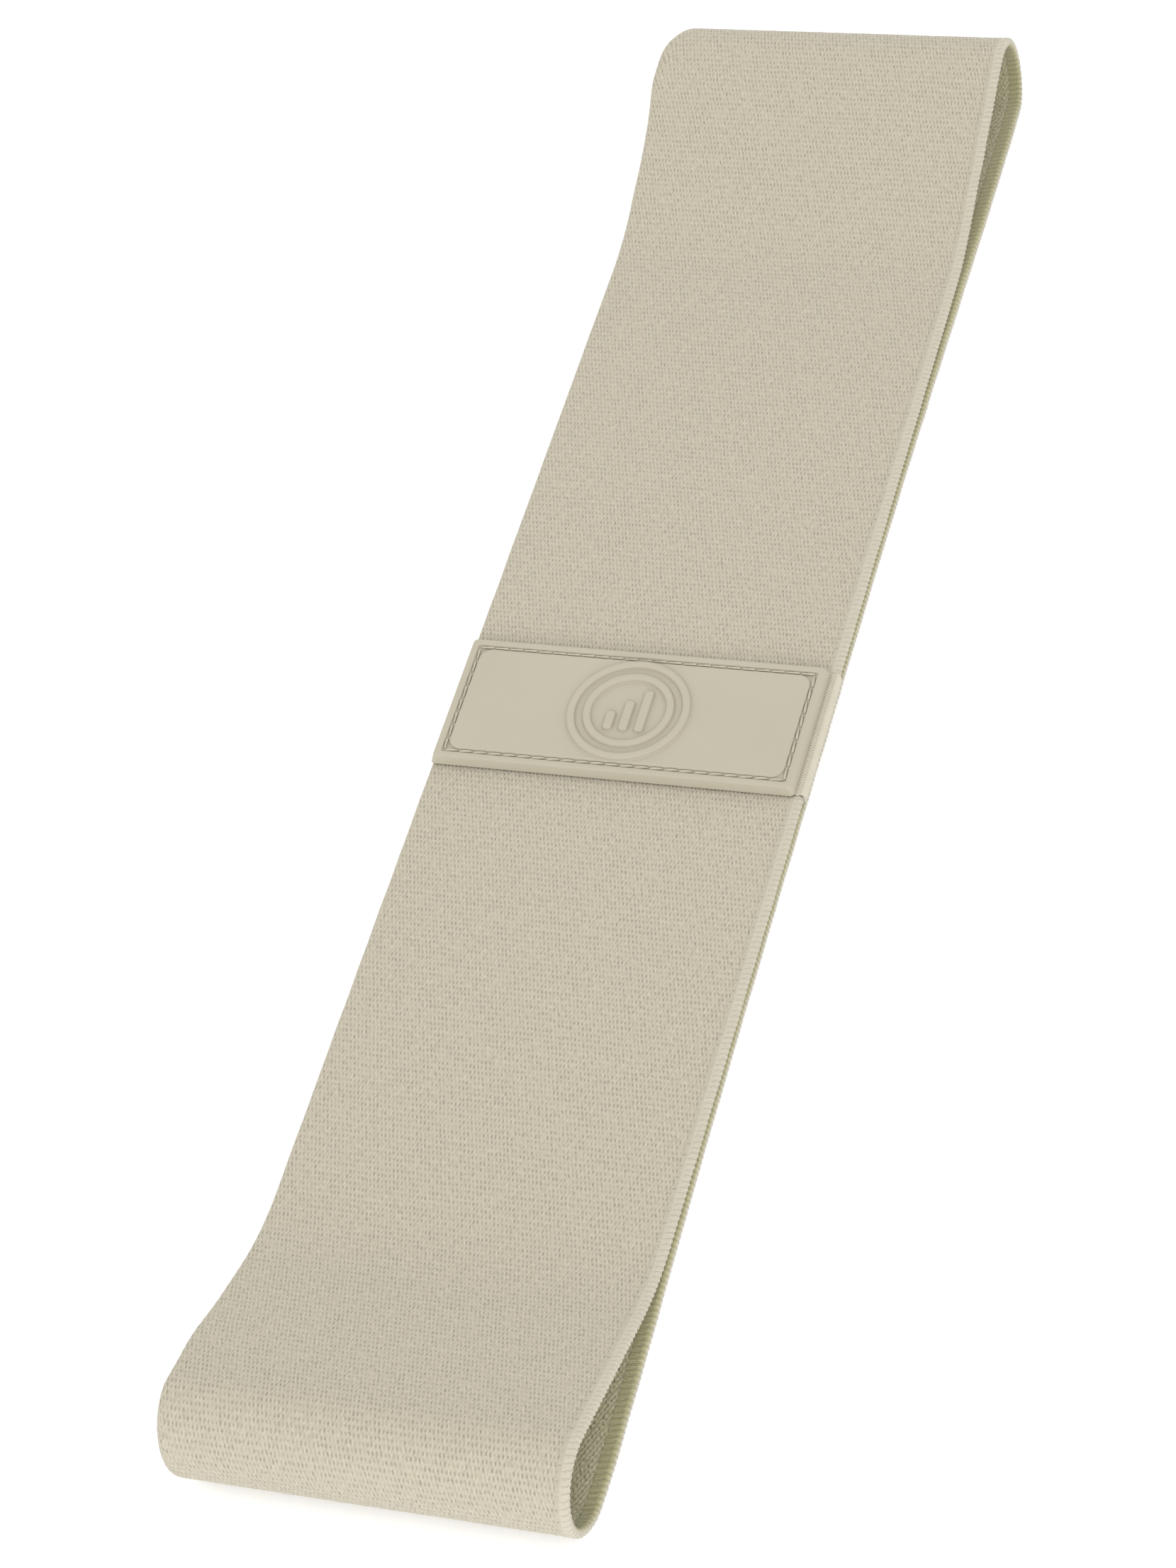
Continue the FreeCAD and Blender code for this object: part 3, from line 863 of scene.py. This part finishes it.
# ---------------------------------------------------------------------------- patch
def rounded_loop(centre, size, inset, corner, z, arc=9):
    """Points round a rectangle with rounded corners, anticlockwise from above."""
    half_x, half_y = size[0] / 2 - inset, size[1] / 2 - inset
    points = []
    for index, (sx, sy) in enumerate(((1, -1), (1, 1), (-1, 1), (-1, -1))):
        cx, cy = sx * (half_x - corner), sy * (half_y - corner)
        for angle in np.linspace(-90, 0, arc) + 90 * index:
            a = math.radians(angle)
            points.append((centre[0] + cx + corner * math.cos(a),
                           centre[1] + cy + corner * math.sin(a), z))
    return np.array(points)


def loft(name, loops):
    """A closed body from loops of equal length, from its foot to its top's middle."""
    points = np.concatenate(loops) * MM
    quads, first, last = grid_faces(len(loops), len(loops[0]))
    quads = quads[:, ::-1]
    return fill_mesh(name, points, [quads, first[:, ::-1], last[:, ::-1]])


def make_patch():
    centre, size = (PATCH_X, PATCH_Y), (PATCH_LENGTH, PATCH_WIDTH)
    top, floor = PATCH_TOP, GROOVE_FLOOR
    steps = (
        (0.00, 1.00, PATCH_BASE), (0.02, 1.00, PATCH_BASE + 0.12), (0.60, 1.00, top - 0.22),
        (0.68, 1.00, top - 0.09), (0.80, 1.00, top - 0.02), (0.95, 0.95, top),
        (1.90, 0.60, top), (2.02, 0.50, top - 0.03), (2.09, 0.42, top - 0.12),
        (2.14, 0.40, floor + 0.10), (2.22, 0.40, floor + 0.02), (2.34, 0.40, floor),
        (2.90, 2.40, floor), (2.98, 2.50, floor + 0.02), (3.03, 2.60, floor + 0.10),
        (3.06, 2.60, top - 0.24), (3.11, 2.60, top - 0.11), (3.20, 2.60, top - 0.03),
        (3.34, 2.60, top), (3.90, 2.60, top),
    )
    loops = [rounded_loop(centre, size, inset, corner, z) for inset, corner, z in steps]
    patch = new_object("patch_moulding", loft("patch_moulding", loops), RUBBER_MAT)
    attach(patch, "front_middle")
    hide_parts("patch")


RING_RADII = (12.2, 8.8)
RING_STEPS = 160
BAR_LENGTHS = (5.0, 8.0, 11.0)
BAR_FOOT = -5.5
BAR_WIDTH = 2.2
BAR_PITCH = 3.4
BAR_CORNER = 0.8
LEAST_CORNER = 0.12


def make_emblem():
    """Two domed rings round three level bars, moulded on the panel."""
    profile = (
        (-1.16, -0.10), (-1.10, 0.00), (-0.99, 0.05), (-0.94, 0.18), (-0.88, 0.42),
        (-0.78, 0.62), (-0.60, 0.74), (-0.30, 0.79), (0.0, 0.80), (0.30, 0.79),
        (0.60, 0.74), (0.78, 0.62), (0.88, 0.42), (0.94, 0.18), (0.99, 0.05),
        (1.10, 0.00), (1.16, -0.10),
    )
    points, parts, offset = [], [], 0
    angles = np.arange(RING_STEPS) * 2 * math.pi / RING_STEPS
    for radius in RING_RADII:
        ring = [
            (PATCH_X + (radius + dr) * math.cos(a), PATCH_Y + (radius + dr) * math.sin(a),
             PATCH_TOP + dz)
            for a in angles for dr, dz in profile
        ]
        size = len(profile)
        i = np.arange(RING_STEPS)[:, None] * size
        i2 = (np.arange(RING_STEPS)[:, None] + 1) % RING_STEPS * size
        k = np.arange(size)[None, :]
        k2 = (k + 1) % size
        quads = np.stack([i + k, i2 + k, i2 + k2, i + k2], -1).reshape(-1, 4) + offset
        parts.append(quads[:, ::-1])
        points.append(np.array(ring))
        offset += len(ring)
    steps = (
        (-0.14, -0.10), (-0.10, 0.00), (0.00, 0.05), (0.04, 0.18), (0.09, 0.46),
        (0.18, 0.64), (0.34, 0.75), (0.60, 0.79), (0.90, 0.80),
    )
    for index, length in enumerate(BAR_LENGTHS):
        centre = (PATCH_X + BAR_FOOT + length / 2, PATCH_Y + (1 - index) * BAR_PITCH)
        loops = []
        for inset, dz in steps:
            corner = max(BAR_CORNER * (1 - max(inset, 0)), LEAST_CORNER)
            size = (length, BAR_WIDTH)
            loops.append(rounded_loop(centre, size, inset, corner, PATCH_TOP + dz))
        quads, first, last = grid_faces(len(loops), len(loops[0]), offset)
        for face in (quads, first, last):
            parts.append(face[:, ::-1])
        points.extend(loops)
        offset += sum(len(loop) for loop in loops)
    mesh = fill_mesh("patch_emblem", np.concatenate(points) * MM, parts)
    emblem = new_object("patch_emblem", mesh, RUBBER_MAT)
    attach(emblem, "front_middle")


make_patch()
make_emblem()

# -------------------------------------------------------------------------- stitches
def stitch_places():
    """Centre of each stitch round the patch's groove, and its direction."""
    half_x = PATCH_LENGTH / 2 - GROOVE_LINE
    half_y = PATCH_WIDTH / 2 - GROOVE_LINE
    for side in (-1, 1):
        for i in range(STITCHES_ALONG):
            place = (i - (STITCHES_ALONG - 1) / 2) * 2 * half_y / STITCHES_ALONG
            yield PATCH_X + side * half_x, PATCH_Y + place, (0, side)
        for i in range(STITCHES_ACROSS):
            place = (i - (STITCHES_ACROSS - 1) / 2) * 2 * half_x / STITCHES_ACROSS
            yield PATCH_X + place, PATCH_Y + side * half_y, (-side, 0)


def stitched(name, places, z, radius, arch, length):
    """Twisted two-ply stitches, each a little slanted and pulled down at its ends."""
    rings, sides = 13, 8
    t = np.linspace(-1, 1, rings)
    points, faces, offset = [], [], 0
    for index, (x, y, (ax, ay)) in enumerate(places):
        jitter = cell_noise(index, 0, 3.0) - 0.5
        slant = 0.10 + 0.05 * jitter
        for ply in (0, 1):
            twist = t * 1.1 + ply * math.pi + 0.7
            side = slant * t + 0.36 * radius * np.cos(twist)
            rise = arch * (1 - t ** 4) - arch + 0.36 * radius * np.sin(twist)
            fat = 0.68 * radius * (1 - 0.3 * t ** 6)
            run = t * length / 2
            for r in range(rings):
                for k in range(sides):
                    a = 2 * math.pi * k / sides
                    px = side[r] + fat[r] * math.cos(a)
                    pz = rise[r] + fat[r] * math.sin(a)
                    points.append((x + ax * run[r] - ay * px, y + ay * run[r] + ax * px, z + pz))
            for face in grid_faces(rings, sides, offset):
                faces.append(face)
            offset += rings * sides
    mesh = fill_mesh(name, np.array(points) * MM, faces)
    return new_object(name, mesh, THREAD_MAT)


def make_threads():
    places = list(stitch_places())
    needle = stitched("needle_stitches", places, *NEEDLE_STITCH, STITCH_LENGTH)
    under = [p for p in places if p[1] > TAPE_COVER_Y]
    bobbin = stitched("bobbin_stitches", under, *UNDER_STITCH, STITCH_LENGTH)
    middle = (TAPE_STITCHES - 1) / 2
    closing = [(PATCH_X + (i - middle) * TAPE_STITCH_PITCH, TAPE_STITCH_Y, (1, 0))
               for i in range(TAPE_STITCHES)]
    seam = stitched("tape_stitches", closing, *UNDER_STITCH, TAPE_STITCH_LENGTH)
    for piece, node in ((needle, "patch_needle_thread"), (bobbin, "patch_bobbin_thread"),
                        (seam, "tape_thread")):
        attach(piece, "front_middle")
        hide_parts(node)


make_threads()
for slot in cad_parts["lacing_thread"].material_slots:
    slot.material = THREAD_MAT


# ----------------------------------------------------------------- floor and lights
# In metres
FLOOR_HALF = 6.0
KEY_PLACE = (-1.5, -0.55, 0.95)
KEY_SIZE = 1.3
KEY_POWER = 13.0
WORLD_STRENGTH = 1.4


def make_floor():
    signs = ((-1, -1), (1, -1), (1, 1), (-1, 1))
    corners = np.array([(x * FLOOR_HALF, y * FLOOR_HALF, 0) for x, y in signs])
    mesh = fill_mesh("floor", corners, [np.array([[0, 1, 2, 3]])])
    new_object("floor", mesh, floor_material())


def area_light(name, place, aim, size, power):
    data = bpy.data.lights.new(name, "AREA")
    data.shape = "DISK"
    data.size = size
    data.energy = power
    light = bpy.data.objects.new(name, data)
    bpy.context.scene.collection.objects.link(light)
    light.location = place
    direction = Vector(aim) - Vector(place)
    light.rotation_mode = "QUATERNION"
    light.rotation_quaternion = direction.to_track_quat("-Z", "Y")


def make_light():
    world = bpy.data.worlds.new("studio")
    world.use_nodes = True
    background = world.node_tree.nodes["Background"]
    background.inputs["Color"].default_value = (1.0, 1.0, 1.0, 1.0)
    background.inputs["Strength"].default_value = WORLD_STRENGTH
    bpy.context.scene.world = world
    area_light("key", KEY_PLACE, (0, 0, 0), KEY_SIZE, KEY_POWER)
    view = bpy.context.scene.view_settings
    view.view_transform = "Standard"
    view.look = "None"


make_floor()
make_light()
